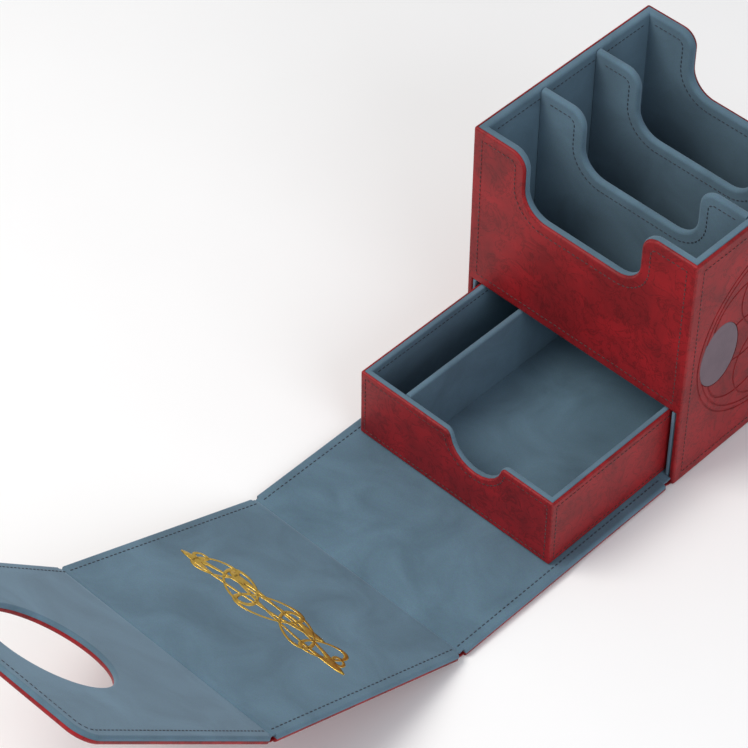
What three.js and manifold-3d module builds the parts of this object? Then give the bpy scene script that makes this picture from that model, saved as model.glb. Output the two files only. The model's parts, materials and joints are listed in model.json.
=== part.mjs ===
// Convertible card deck box: a three-compartment card tray over a drawer, with a
// three-panel flap hinged at the case's bottom front edge. Millimetres, +Z up.
// The origin is the centre of the case's underside; the drawer and flap open towards -Y.
// Every wall and panel is a sandwich: leatherette cover, greyboard, microfibre lining.
import * as THREE from 'three';
import { mergeVertices } from 'three/addons/utils/BufferGeometryUtils.js';
import Module from 'manifold-3d';

// ---- driving dimensions -----------------------------------------------------------------
const CASE_WIDTH = 102;
const CASE_DEPTH = 94.5;
const CASE_HEIGHT = 109.5;
const GAP = 0.25;              // glue line between layers, and between neighbouring sheets

const WALL_COVER = 0.9;        // leatherette on the case's walls
const WALL_BOARD = 1.7;        // greyboard in the case's walls
const WALL_LINING = 0.9;       // microfibre on the case's walls
const RIM_REVEAL = 0.3;        // how far the cover stops below the rounded rim

const BASE_COVER = 0.8;        // layers of the base and of the flap
const BASE_BOARD = 1.2;
const BASE_LINING = 0.7;

const BAY_HEIGHT = 36;         // underside of the tray above the table
const JAMB_RED = 2.4;          // cover turned round the bay's front edge
const TRAY_FLOOR_BOARD = 1.7;
const TRAY_LINING = 0.7;
const DIVIDER = 3;

const SCOOP_HALF_WIDTH = 26.5; // scoop in the front wall, rear wall and dividers
const SCOOP_DEPTH = 25.5;
const SCOOP_SHOULDER = 7;
const SCOOP_FOOT = 10;

const DRAWER_OUT = 61.8;       // how far the drawer stands open
const DRAWER_SIDE_PLAY = 1.1;
const DRAWER_LIFT = 0.4;       // clearance over the bay's floor lining
const DRAWER_TOP_PLAY = 0.6;
const DRAWER_END_PLAY = 1;
const DRAWER_COVER = 0.8;
const DRAWER_BOARD = 1.1;
const DRAWER_LINING = 0.7;
const DRAWER_FLOOR_COVER = 0.6;
const DRAWER_FLOOR_BOARD = 1.2;
const DRAWER_DIVIDER = 2.5;
const DRAWER_SMALL_ROOM = 16;  // clear width of the narrow compartment
const THUMB_RADIUS = 12;       // thumb scoop in the drawer's front
const THUMB_SHOULDER = 2.5;

const FLAP_PLAY = 0.3;         // between the closed flap and the case
const FOLD_PLAY = 0.5;         // spare room that lets two panels stand square at a fold
const FLAP_END_CLEAR = 5.8;    // closed back panel's end above the front fold's axis
const TOP_RAISE = 22.9;        // degrees above the table
const BACK_RAISE = 43.5;
const PANEL_CORNER = 2.5;
const FREE_CORNER = 8;
const TURN_IN = 1.2;           // cover and lining past the board's edge
const WINDOW_RADIUS = 23.5;
const WINDOW_FROM_END = 39.3;  // window's centre from the free end

const MAGNET_RADIUS = 5;
const MAGNET_SPREAD = 64;      // between the two magnets of a pair
const MAGNET_FROM_END = 10;    // from the flap's free end

const INLAY_LONG = 28.8;       // oval inlays of the side emblem
const INLAY_WIDE = 20.6;
const INLAY_MARGIN = 8.5;      // from the case's front and rear faces to the ovals
const INLAY_HEIGHT = 54;       // emblem's centre above the table
const INLAY_THICK = 0.4;
const INLAY_SINK = 0.6;        // pocket depth in the cover

const ARC_STEPS = 8;           // segments in a quarter of a rounded corner
const ROUND_STEPS = 48;        // segments in a full circle
const MERGE = 1e-5;            // vertices closer than this are one
const OVERLAP = 0.1;           // how far shapes run into each other before they are joined
const CLEAR_CUT = 1;           // how far a cutting shape runs past the face that it opens

// ---- sizes that follow ------------------------------------------------------------------
const halfWidth = CASE_WIDTH / 2;
const halfDepth = CASE_DEPTH / 2;
const wallStack = WALL_COVER + GAP + WALL_BOARD + GAP + WALL_LINING;
const baseStack = BASE_COVER + GAP + BASE_BOARD + GAP + BASE_LINING;
const boardX = halfWidth - WALL_COVER - GAP;            // outer face of a side board
const boardY = halfDepth - WALL_COVER - GAP;
const sheetX = boardX - WALL_BOARD - GAP;               // outer face of a side lining
const sheetY = boardY - WALL_BOARD - GAP;
const roomX = halfWidth - wallStack;                    // inner face of a side lining
const roomY = halfDepth - wallStack;
const rimBoard = WALL_LINING + GAP;                     // board stops this far below the rim
const boardFoot = BASE_COVER + GAP + BASE_BOARD + GAP;  // what stands on the base board
const trayBoardFoot = BAY_HEIGHT + TRAY_LINING + GAP;
const trayLiningFoot = trayBoardFoot + TRAY_FLOOR_BOARD + GAP;
const trayFloor = trayLiningFoot + TRAY_LINING;
const bayTop = BAY_HEIGHT - GAP;

// The closed flap stands off the case by FLAP_PLAY all round, so its panels' lengths follow
// the case. Each fold's axis lies half way through the flap's thickness.
const flapHalf = baseStack / 2;
const foldSetOff = flapHalf + FLAP_PLAY;
const foldRoom = flapHalf + FOLD_PLAY;
const flapFrontLong = CASE_HEIGHT + FLAP_PLAY;
const flapTopLong = CASE_DEPTH + 2 * foldSetOff;
const flapBackLong = flapFrontLong - FLAP_END_CLEAR;
const magnetHeight = flapHalf + FLAP_END_CLEAR + MAGNET_FROM_END;
const magnetPlaces = [['left', -MAGNET_SPREAD / 2], ['right', MAGNET_SPREAD / 2]];

// ---- materials --------------------------------------------------------------------------
const finish = (color, roughness, metalness = 0) =>
  new THREE.MeshStandardMaterial({ color, roughness, metalness });
const leatherette = finish(0x86262a, 0.6);
const microfibre = finish(0x64798c, 0.9);
const greyboard = finish(0x9a948a, 0.9);
const inlayLeather = finish(0x584a56, 0.55);
const steel = finish(0xb8bcc0, 0.3, 1);

// ---- shaping tools ----------------------------------------------------------------------
const wasm = await Module();
wasm.setup();

// Turns a closed geometry into a solid that can be joined and cut.
function solidOf(geometry) {
  const bare = geometry.clone();
  bare.deleteAttribute('normal');
  bare.deleteAttribute('uv');
  const merged = mergeVertices(bare.index ? bare.toNonIndexed() : bare, MERGE);
  return new wasm.Manifold(new wasm.Mesh({
    numProp: 3,
    vertProperties: new Float32Array(merged.attributes.position.array),
    triVerts: new Uint32Array(merged.index.array),
  }));
}

// Turns a solid back into a geometry.
function geometryOf(solid) {
  const mesh = solid.getMesh();
  const geometry = new THREE.BufferGeometry();
  geometry.setAttribute('position', new THREE.BufferAttribute(mesh.vertProperties, 3));
  geometry.setIndex(new THREE.BufferAttribute(mesh.triVerts, 1));
  geometry.computeVertexNormals();
  return geometry;
}

const join = (...geometries) =>
  geometryOf(geometries.map(solidOf).reduce((whole, piece) => whole.add(piece)));
const cut = (geometry, ...tools) =>
  geometryOf(tools.map(solidOf).reduce((whole, tool) => whole.subtract(tool), solidOf(geometry)));

// A box from its lowest to its highest corner.
function block(low, high) {
  const size = high.map((value, axis) => value - low[axis]);
  const middle = high.map((value, axis) => (value + low[axis]) / 2);
  return new THREE.BoxGeometry(...size).translate(...middle);
}

// Points of a round stretch about (x, y), from one angle to another in degrees.
function arc(x, y, radius, from, to, steps = ARC_STEPS) {
  const points = [];
  for (let step = 0; step <= steps; step += 1) {
    const angle = THREE.MathUtils.degToRad(from + ((to - from) * step) / steps);
    points.push([x + radius * Math.cos(angle), y + radius * Math.sin(angle)]);
  }
  return points;
}

// A closed shape through the points, with no point repeated where two stretches meet.
function shapeOf(points) {
  const apart = points.filter(([x, y], index) => {
    const [lastX, lastY] = points[(index + points.length - 1) % points.length];
    return Math.hypot(x - lastX, y - lastY) > MERGE;
  });
  return new THREE.Shape(apart.map(([x, y]) => new THREE.Vector2(x, y)));
}

const extrude = (shape, depth) => new THREE.ExtrudeGeometry(shape, {
  depth, bevelEnabled: false, steps: 1, curveSegments: ROUND_STEPS,
});

// A sheet whose outline is drawn from the front (x, z), standing from y = near to y = far.
function uprightSheet(points, near, far) {
  const facing = new THREE.Matrix4().makeRotationX(Math.PI / 2);
  return extrude(shapeOf(points), far - near).applyMatrix4(facing).translate(0, far, 0);
}

// A sheet whose outline is drawn from the side (y, z), standing from x = left to x = right.
function sideSheet(points, left, right) {
  const turned = new THREE.Matrix4().makeBasis(
    new THREE.Vector3(0, 1, 0), new THREE.Vector3(0, 0, 1), new THREE.Vector3(1, 0, 0));
  return extrude(shapeOf(points), right - left).applyMatrix4(turned).translate(left, 0, 0);
}

// A flat sheet whose outline is drawn from above (x, y), from z = low to z = high.
const flatSheet = (shape, low, high) => extrude(shape, high - low).translate(0, 0, low);

// Outline, seen from the front, of a wall with a scoop in its top edge. The inset draws the
// same edge lower down and wider, which is where a layer that lies under the rim ends. Where
// the scoop is too shallow for upright sides, its foot and shoulder arcs run into each other.
function scoopedOutline(left, right, bottom, top, scoop, inset = 0) {
  const shoulder = Math.max(scoop.shoulder - inset, 0.2);
  const foot = scoop.foot + inset;
  const rim = top - inset;
  const footAt = scoop.halfWidth - scoop.foot;
  const footHeight = rim - scoop.depth + foot;
  const drop = Math.min(0, rim - shoulder - footHeight);
  const lean = THREE.MathUtils.radToDeg(Math.asin(drop / (foot + shoulder)));
  const shoulderAt = footAt + Math.sqrt((foot + shoulder) ** 2 - drop ** 2);
  const mid = scoop.offset;
  return [
    [left, bottom], [right, bottom], [right, rim],
    ...arc(mid + shoulderAt, rim - shoulder, shoulder, 90, 180 + lean),
    ...arc(mid + footAt, footHeight, foot, lean, -90),
    ...arc(mid - footAt, footHeight, foot, -90, -180 - lean),
    ...arc(mid - shoulderAt, rim - shoulder, shoulder, -lean, 90),
    [left, rim],
  ];
}

// The band along a scooped top edge that a lining turns over: its thickness is a lining's.
function scoopedRim(left, right, top, scoop, thickness) {
  const under = scoopedOutline(left, right, 0, top, scoop, thickness).slice(2).reverse();
  return [...scoopedOutline(left, right, 0, top, scoop).slice(2), ...under];
}

const wallScoop = {
  halfWidth: SCOOP_HALF_WIDTH, depth: SCOOP_DEPTH,
  shoulder: SCOOP_SHOULDER, foot: SCOOP_FOOT, offset: 0,
};

// ---- scene graph ------------------------------------------------------------------------
const deckBox = new THREE.Group();
const caseGroup = new THREE.Group();
deckBox.add(caseGroup);

function add(parent, name, geometry, material) {
  const mesh = new THREE.Mesh(geometry, material);
  mesh.name = name;
  parent.add(mesh);
  return mesh;
}

const mirrorX = (geometry, side) => {
  if (side > 0) return geometry;
  return geometryOf(solidOf(geometry).mirror([1, 0, 0]));
};

// ---- base -------------------------------------------------------------------------------
add(caseGroup, 'base_cover',
  block([-boardX, -halfDepth, 0], [boardX, boardY, BASE_COVER]), leatherette);
add(caseGroup, 'base_board',
  block([-boardX, -halfDepth + TURN_IN, BASE_COVER + GAP], [boardX, boardY, boardFoot - GAP]),
  greyboard);

// ---- side walls -------------------------------------------------------------------------
// The cover runs on to the front face beside the bay and turns round the board's edge there.
const sideCoverOutline = [
  [-halfDepth, 0], [boardY, 0], [boardY, CASE_HEIGHT - RIM_REVEAL],
  [-boardY, CASE_HEIGHT - RIM_REVEAL], [-boardY, bayTop], [-halfDepth, bayTop],
];

function ovalInlay(grow, along) {
  const oval = new THREE.Shape();
  oval.absellipse(along, INLAY_HEIGHT, INLAY_WIDE / 2 + grow, INLAY_LONG / 2 + grow,
    0, Math.PI * 2);
  return oval.extractPoints(ROUND_STEPS / 4).shape.slice(0, -1).map((p) => [p.x, p.y]);
}

const inlayAt = halfDepth - INLAY_MARGIN - INLAY_WIDE / 2;
for (const [sideName, side] of [['left', -1], ['right', 1]]) {
  const places = [['front', -inlayAt], ['rear', inlayAt]];
  const pockets = places.map(([, along]) =>
    sideSheet(ovalInlay(GAP, along), halfWidth - INLAY_SINK, halfWidth + CLEAR_CUT));
  const cover = join(
    sideSheet(sideCoverOutline, boardX + GAP, halfWidth),
    block([halfWidth - JAMB_RED, -halfDepth, boardFoot + BASE_LINING + GAP],
      [boardX + GAP + OVERLAP, -boardY - GAP, bayTop]));
  add(caseGroup, `${sideName}_wall_cover`, mirrorX(cut(cover, ...pockets), side), leatherette);
  for (const [place, along] of places) {
    const inlay = sideSheet(ovalInlay(0, along),
      halfWidth - INLAY_SINK + GAP / 2, halfWidth - INLAY_SINK + GAP / 2 + INLAY_THICK);
    add(caseGroup, `${sideName}_inlay_${place}`, mirrorX(inlay, side), inlayLeather);
  }
  add(caseGroup, `${sideName}_wall_board`, mirrorX(block(
    [boardX - WALL_BOARD, -boardY, boardFoot],
    [boardX, boardY, CASE_HEIGHT - rimBoard]), side), greyboard);
  add(caseGroup, `tray_lining_${sideName}`, mirrorX(join(
    block([roomX, -sheetY, BAY_HEIGHT], [sheetX, sheetY, CASE_HEIGHT]),
    block([roomX, -boardY, CASE_HEIGHT - WALL_LINING], [boardX, boardY, CASE_HEIGHT])),
  side), microfibre);
  add(caseGroup, `bay_lining_${sideName}`, mirrorX(join(
    block([roomX, -halfDepth, boardFoot], [sheetX, sheetY, bayTop]),
    block([roomX, -halfDepth, boardFoot], [halfWidth - JAMB_RED - GAP, -boardY - GAP, bayTop])),
  side), microfibre);
}

// ---- front and rear walls ---------------------------------------------------------------
const roomEdge = roomX - GAP;                           // sheets between the side linings
const rimScoop = (inset) => (left, right, bottom) =>
  scoopedOutline(left, right, bottom, CASE_HEIGHT, wallScoop, inset);

// Front wall: from the bay's top to the rim, its cover turned under the board.
add(caseGroup, 'front_wall_cover', join(
  uprightSheet(rimScoop(RIM_REVEAL)(-halfWidth, halfWidth, BAY_HEIGHT), -halfDepth, -boardY - GAP),
  block([-sheetX, -boardY - GAP - OVERLAP, BAY_HEIGHT],
    [sheetX, -sheetY - GAP, BAY_HEIGHT + WALL_COVER])),
leatherette);
add(caseGroup, 'front_wall_board', uprightSheet(
  rimScoop(rimBoard)(-sheetX, sheetX, BAY_HEIGHT + WALL_COVER + GAP), -boardY, -boardY + WALL_BOARD),
greyboard);

// Rear wall: from the table to the rim, with a pair of magnets let into its board.
const disc = (x, y, radius) => arc(x, y, radius, 0, 360, ROUND_STEPS / 2).slice(0, -1);

add(caseGroup, 'rear_wall_cover', uprightSheet(
  rimScoop(RIM_REVEAL)(-halfWidth, halfWidth, 0), boardY + GAP, halfDepth), leatherette);
add(caseGroup, 'rear_wall_board', cut(
  uprightSheet(rimScoop(rimBoard)(-sheetX, sheetX, boardFoot), boardY - WALL_BOARD, boardY),
  ...magnetPlaces.map(([, x]) =>
    uprightSheet(disc(x, magnetHeight, MAGNET_RADIUS + GAP),
      boardY - WALL_BOARD - CLEAR_CUT, boardY + CLEAR_CUT))), greyboard);
for (const [sideName, x] of magnetPlaces) {
  add(caseGroup, `case_magnet_${sideName}`,
    uprightSheet(disc(x, magnetHeight, MAGNET_RADIUS), boardY - WALL_BOARD, boardY), steel);
}

// Their linings stand inside and turn over the rim.
for (const [wall, side] of [['front', -1], ['rear', 1]]) {
  const sheet = [roomY, sheetY].map((y) => y * side).sort((a, b) => a - b);
  const rim = [roomY, boardY].map((y) => y * side).sort((a, b) => a - b);
  add(caseGroup, `tray_lining_${wall}`, join(
    uprightSheet(rimScoop(0)(-roomEdge, roomEdge, trayFloor + GAP), ...sheet),
    uprightSheet(scoopedRim(-roomEdge, roomEdge, CASE_HEIGHT, wallScoop, WALL_LINING), ...rim)),
  microfibre);
}

// ---- tray floor, dividers and bay linings -----------------------------------------------
const roomEnd = roomY - GAP;
add(caseGroup, 'bay_lining_ceiling', block(
  [-roomEdge, -roomEnd, BAY_HEIGHT], [roomEdge, roomEnd, BAY_HEIGHT + TRAY_LINING]), microfibre);
add(caseGroup, 'tray_floor_board', block(
  [-roomEdge, -roomEnd, trayBoardFoot], [roomEdge, roomEnd, trayLiningFoot - GAP]), greyboard);
add(caseGroup, 'tray_lining_floor', block(
  [-roomEdge, -roomEnd, trayLiningFoot], [roomEdge, roomEnd, trayFloor]), microfibre);
add(caseGroup, 'bay_lining_floor', block(
  [-roomEdge, -halfDepth, boardFoot], [roomEdge, roomEnd, boardFoot + BASE_LINING]), microfibre);
add(caseGroup, 'bay_lining_rear', block(
  [-roomEdge, roomY, boardFoot], [roomEdge, sheetY, bayTop]), microfibre);

// The dividers share the tray's depth out equally.
const dividers = ['divider_front', 'divider_rear'];
const compartment = (2 * roomY - dividers.length * DIVIDER) / (dividers.length + 1);
dividers.forEach((name, index) => {
  const near = -roomY + (index + 1) * compartment + index * DIVIDER;
  add(caseGroup, name, uprightSheet(
    rimScoop(0)(-roomEdge, roomEdge, trayFloor + GAP), near, near + DIVIDER), microfibre);
});

// ---- drawer -----------------------------------------------------------------------------
const drawer = new THREE.Group();
drawer.position.y = -halfDepth - DRAWER_OUT;            // drawer's own y = 0 is its front face
deckBox.add(drawer);

const drawerHalf = roomX - DRAWER_SIDE_PLAY;
const drawerLong = roomY + halfDepth - DRAWER_END_PLAY;
const drawerFoot = baseStack + DRAWER_LIFT;
const drawerTop = BAY_HEIGHT - DRAWER_TOP_PLAY;
const drawerBoardOut = DRAWER_COVER + GAP;              // depths in from the outer face
const drawerSheetOut = drawerBoardOut + DRAWER_BOARD + GAP;
const drawerWall = drawerSheetOut + DRAWER_LINING;
const drawerRoom = drawerHalf - drawerWall;
const drawerBoardFoot = drawerFoot + DRAWER_FLOOR_COVER + GAP;
const drawerSheetFoot = drawerBoardFoot + DRAWER_FLOOR_BOARD + GAP;
const drawerFloor = drawerSheetFoot + DRAWER_LINING;
const drawerRimBoard = drawerTop - DRAWER_LINING - GAP;

// The thumb scoop is half round, about a centre level with the rim and half way across the
// wide compartment.
const thumbScoop = {
  halfWidth: THUMB_RADIUS, depth: THUMB_RADIUS, shoulder: THUMB_SHOULDER,
  foot: THUMB_RADIUS, offset: (DRAWER_SMALL_ROOM + DRAWER_DIVIDER) / 2,
};
function drawerFront(left, right, bottom, inset) {
  return scoopedOutline(left, right, bottom, drawerTop, thumbScoop, inset);
}

add(drawer, 'drawer_floor_cover', block(
  [-drawerHalf, 0, drawerFoot], [drawerHalf, drawerLong, drawerFoot + DRAWER_FLOOR_COVER]),
leatherette);
add(drawer, 'drawer_floor_board', block(
  [-drawerHalf + drawerBoardOut, drawerBoardOut, drawerBoardFoot],
  [drawerHalf - drawerBoardOut, drawerLong - drawerBoardOut, drawerSheetFoot - GAP]), greyboard);

add(drawer, 'drawer_front_cover', uprightSheet(
  drawerFront(-drawerHalf, drawerHalf, drawerBoardFoot, RIM_REVEAL), 0, DRAWER_COVER), leatherette);
add(drawer, 'drawer_front_board', uprightSheet(drawerFront(
  -drawerHalf + drawerSheetOut, drawerHalf - drawerSheetOut, drawerSheetFoot, DRAWER_LINING + GAP),
drawerBoardOut, drawerBoardOut + DRAWER_BOARD), greyboard);
add(drawer, 'drawer_lining_front', join(
  uprightSheet(drawerFront(-drawerRoom + GAP, drawerRoom - GAP, drawerFloor + GAP, 0),
    drawerSheetOut, drawerWall),
  uprightSheet(scoopedRim(-drawerRoom + GAP, drawerRoom - GAP, drawerTop, thumbScoop,
    DRAWER_LINING), drawerBoardOut, drawerWall)), microfibre);

const drawerBack = (depth) => drawerLong - depth;
add(drawer, 'drawer_back_cover', block(
  [-drawerHalf, drawerBack(DRAWER_COVER), drawerBoardFoot],
  [drawerHalf, drawerLong, drawerTop - RIM_REVEAL]), leatherette);
add(drawer, 'drawer_back_board', block(
  [-drawerHalf + drawerSheetOut, drawerBack(drawerBoardOut + DRAWER_BOARD), drawerSheetFoot],
  [drawerHalf - drawerSheetOut, drawerBack(drawerBoardOut), drawerRimBoard]), greyboard);
add(drawer, 'drawer_lining_back', join(
  block([-drawerRoom + GAP, drawerBack(drawerWall), drawerFloor + GAP],
    [drawerRoom - GAP, drawerBack(drawerSheetOut), drawerTop]),
  block([-drawerRoom + GAP, drawerBack(drawerWall), drawerTop - DRAWER_LINING],
    [drawerRoom - GAP, drawerBack(drawerBoardOut), drawerTop])), microfibre);

for (const [sideName, side] of [['left', -1], ['right', 1]]) {
  add(drawer, `drawer_${sideName}_cover`, mirrorX(block(
    [drawerHalf - DRAWER_COVER, DRAWER_COVER + GAP, drawerBoardFoot],
    [drawerHalf, drawerBack(DRAWER_COVER + GAP), drawerTop - RIM_REVEAL]), side), leatherette);
  add(drawer, `drawer_${sideName}_board`, mirrorX(block(
    [drawerHalf - drawerBoardOut - DRAWER_BOARD, drawerBoardOut, drawerSheetFoot],
    [drawerHalf - drawerBoardOut, drawerBack(drawerBoardOut), drawerRimBoard]), side), greyboard);
  add(drawer, `drawer_lining_${sideName}`, mirrorX(join(
    block([drawerRoom, drawerSheetOut, drawerFloor + GAP],
      [drawerHalf - drawerSheetOut, drawerBack(drawerSheetOut), drawerTop]),
    block([drawerRoom, drawerBoardOut, drawerTop - DRAWER_LINING],
      [drawerHalf - drawerBoardOut, drawerBack(drawerBoardOut), drawerTop])), side), microfibre);
}

add(drawer, 'drawer_lining_floor', block(
  [-drawerHalf + drawerSheetOut, drawerSheetOut, drawerSheetFoot],
  [drawerHalf - drawerSheetOut, drawerBack(drawerSheetOut), drawerFloor]), microfibre);
add(drawer, 'drawer_divider', block(
  [-drawerRoom + DRAWER_SMALL_ROOM, drawerWall + GAP, drawerFloor + GAP],
  [-drawerRoom + DRAWER_SMALL_ROOM + DRAWER_DIVIDER, drawerBack(drawerWall + GAP), drawerTop]),
microfibre);

// ---- flap -------------------------------------------------------------------------------
// Each panel hangs in a group on its fold's axis, half way through its thickness, and runs
// along the group's -Y. A round strip of leatherette fills the fold, about the same axis.
const foldRadius = flapHalf - GAP;

function foldStrip(parent, name) {
  const strip = new THREE.CylinderGeometry(
    foldRadius, foldRadius, CASE_WIDTH - 2 * TURN_IN, ROUND_STEPS / 3);
  const mesh = add(parent, name, strip, leatherette);
  mesh.rotation.z = Math.PI / 2;
  return mesh;
}

// Outline from above of a panel from near its fold to a far end with its own corner radius.
function panelShape(long, farCorner, inset, hole) {
  const half = halfWidth - inset;
  const near = -foldRoom - inset;
  const far = -long + inset;
  const nearRound = Math.max(PANEL_CORNER - inset, 0.5);
  const farRound = Math.max(farCorner - inset, 0.5);
  const shape = shapeOf([
    ...arc(half - nearRound, near - nearRound, nearRound, 0, 90),
    ...arc(-half + nearRound, near - nearRound, nearRound, 90, 180),
    ...arc(-half + farRound, far + farRound, farRound, 180, 270),
    ...arc(half - farRound, far + farRound, farRound, 270, 360),
  ]);
  if (hole) shape.holes.push(new THREE.Path().absarc(0, -hole.at, hole.radius, 0, Math.PI * 2, true));
  return shape;
}

function flapPanel(parent, name, long, farCorner, hole, magnets = []) {
  const layers = [
    ['cover', -flapHalf, BASE_COVER, 0, leatherette],
    ['board', -flapHalf + BASE_COVER + GAP, BASE_BOARD, TURN_IN, greyboard],
    ['lining', flapHalf - BASE_LINING, BASE_LINING, 0, microfibre],
  ];
  for (const [layer, low, thick, inset, material] of layers) {
    const opening = hole && { at: hole.at, radius: hole.radius + inset };
    let geometry = flatSheet(panelShape(long, farCorner, inset, opening), low, low + thick);
    if (layer === 'board' && magnets.length) {
      geometry = cut(geometry, ...magnets.map(([, x, y]) => flatSheet(
        shapeOf(disc(x, y, MAGNET_RADIUS + GAP)), low - CLEAR_CUT, low + thick + CLEAR_CUT)));
      for (const [side, x, y] of magnets) {
        add(parent, `${name}_magnet_${side}`,
          flatSheet(shapeOf(disc(x, y, MAGNET_RADIUS)), low, low + thick), steel);
      }
    }
    add(parent, `${name}_${layer}`, geometry, material);
  }
}

const frontFold = new THREE.Group();
frontFold.position.set(0, -halfDepth - foldSetOff, flapHalf);
deckBox.add(frontFold);
foldStrip(frontFold, 'fold_strip_front');
flapPanel(frontFold, 'flap_front', flapFrontLong - foldRoom, PANEL_CORNER);

const topFold = new THREE.Group();
topFold.position.y = -flapFrontLong;
topFold.rotation.x = -THREE.MathUtils.degToRad(TOP_RAISE);
frontFold.add(topFold);
foldStrip(topFold, 'fold_strip_top');
flapPanel(topFold, 'flap_top', flapTopLong - foldRoom, PANEL_CORNER);

const backFold = new THREE.Group();
backFold.position.y = -flapTopLong;
backFold.rotation.x = -THREE.MathUtils.degToRad(BACK_RAISE - TOP_RAISE);
topFold.add(backFold);
foldStrip(backFold, 'fold_strip_back');
flapPanel(backFold, 'flap_back', flapBackLong, FREE_CORNER,
  { at: flapBackLong - WINDOW_FROM_END, radius: WINDOW_RADIUS },
  magnetPlaces.map(([side, x]) => [side, x, -flapBackLong + MAGNET_FROM_END]));

export default deckBox;
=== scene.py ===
import json
import math

import bmesh
import bpy
from mathutils import Matrix, Vector

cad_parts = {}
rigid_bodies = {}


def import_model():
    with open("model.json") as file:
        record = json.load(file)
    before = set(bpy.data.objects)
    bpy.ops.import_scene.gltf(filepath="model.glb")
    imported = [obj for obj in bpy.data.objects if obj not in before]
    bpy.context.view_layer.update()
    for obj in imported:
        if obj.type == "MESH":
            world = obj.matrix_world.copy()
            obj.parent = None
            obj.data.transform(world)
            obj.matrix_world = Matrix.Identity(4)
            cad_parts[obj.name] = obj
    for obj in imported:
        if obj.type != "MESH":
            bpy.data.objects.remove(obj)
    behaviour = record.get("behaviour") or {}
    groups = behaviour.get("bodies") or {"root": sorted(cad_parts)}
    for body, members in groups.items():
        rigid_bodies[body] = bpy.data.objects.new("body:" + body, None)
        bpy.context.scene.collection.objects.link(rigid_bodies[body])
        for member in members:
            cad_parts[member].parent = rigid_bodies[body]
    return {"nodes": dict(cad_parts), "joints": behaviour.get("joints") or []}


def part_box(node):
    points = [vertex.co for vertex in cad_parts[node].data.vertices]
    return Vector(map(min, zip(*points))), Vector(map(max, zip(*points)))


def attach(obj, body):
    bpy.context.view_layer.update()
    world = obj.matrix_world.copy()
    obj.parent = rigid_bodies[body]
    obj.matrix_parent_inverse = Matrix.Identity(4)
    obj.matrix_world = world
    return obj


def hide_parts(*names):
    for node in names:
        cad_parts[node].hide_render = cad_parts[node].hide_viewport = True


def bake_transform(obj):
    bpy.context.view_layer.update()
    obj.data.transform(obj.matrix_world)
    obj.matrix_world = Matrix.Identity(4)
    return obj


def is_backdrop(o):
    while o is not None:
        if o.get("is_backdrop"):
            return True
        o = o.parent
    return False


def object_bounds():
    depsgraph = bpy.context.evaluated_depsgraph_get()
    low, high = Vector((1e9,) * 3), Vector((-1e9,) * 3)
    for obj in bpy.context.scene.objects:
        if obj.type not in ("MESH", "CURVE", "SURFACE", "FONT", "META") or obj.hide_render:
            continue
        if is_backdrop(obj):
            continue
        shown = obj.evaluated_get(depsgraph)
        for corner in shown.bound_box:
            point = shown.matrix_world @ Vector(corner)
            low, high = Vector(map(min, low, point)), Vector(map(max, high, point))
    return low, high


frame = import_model()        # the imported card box: bodies, nodes, joints and record
cad_low, cad_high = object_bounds()
mm = 0.001
scene = bpy.context.scene


# ---- camera, light and floor --------------------------------------------------------------
# A long lens looks down over the open flap towards the case, and a plain pale floor is lit
# by one big soft light above, a weaker one from the right, and an even pale surround.
CAMERA_AZIMUTH = math.radians(43.34)
CAMERA_ELEVATION = math.radians(46.23)
CAMERA_ROLL = math.radians(0.73)
CAMERA_STANDS = Vector((-70.8, 14.5, 1154.3)) * mm     # across, up and back from the bay's sill
LENS = 150.94                                          # millimetres on a 36 mm sensor

bpy.ops.object.select_all(action="DESELECT")
bpy.ops.object.camera_add()
camera = bpy.context.active_object
camera.name = "camera"
camera.data.lens = LENS
camera.data.clip_start, camera.data.clip_end = 0.05, 20
sill = Vector((0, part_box("front_wall_cover")[0].y, 0))
camera.matrix_world = (
    Matrix.Translation(sill)
    @ Matrix.Rotation(CAMERA_AZIMUTH, 4, "Z")
    @ Matrix.Rotation(math.pi / 2 - CAMERA_ELEVATION, 4, "X")
    @ Matrix.Rotation(CAMERA_ROLL, 4, "Z")
    @ Matrix.Translation(CAMERA_STANDS)
)
scene.camera = camera
scene.view_settings.view_transform = "Standard"


def colour(code):
    """Turns an sRGB hex colour into the linear colour that Blender's sockets take."""
    parts = [int(code[place:place + 2], 16) / 255 for place in (1, 3, 5)]
    return [c / 12.92 if c <= 0.04045 else ((c + 0.055) / 1.055) ** 2.4 for c in parts] + [1]


def soft_light(name, place, size, power, tint):
    """Adds a square soft light that faces the case's foot."""
    bpy.ops.object.light_add(type="AREA", location=place)
    lamp = bpy.context.active_object
    lamp.name = name
    lamp.data.size, lamp.data.energy, lamp.data.color = size, power, colour(tint)[:3]
    lamp.rotation_euler = (sill - lamp.location).to_track_quat("-Z", "Y").to_euler()


soft_light("key_light", (-0.45, -0.75, 1.15), 0.7, 12, "#FFFBF5")
soft_light("right_light", (1.1, -0.35, 0.75), 0.8, 5, "#F4F8FF")
world = bpy.data.worlds.new("studio")
world.use_nodes = True
world.node_tree.nodes["Background"].inputs["Color"].default_value = colour("#F2F5FA")
world.node_tree.nodes["Background"].inputs["Strength"].default_value = 0.5
scene.world = world


def node(tree, kind, settings):
    """Adds a node, and sets or links each property or socket that settings names."""
    made = tree.nodes.new(kind)
    for name, value in settings.items():
        if isinstance(value, bpy.types.NodeSocket):
            tree.links.new(value, made.inputs[name])
        elif isinstance(name, str) and hasattr(made, name):
            setattr(made, name, value)
        else:
            made.inputs[name].default_value = value
    return made


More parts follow.
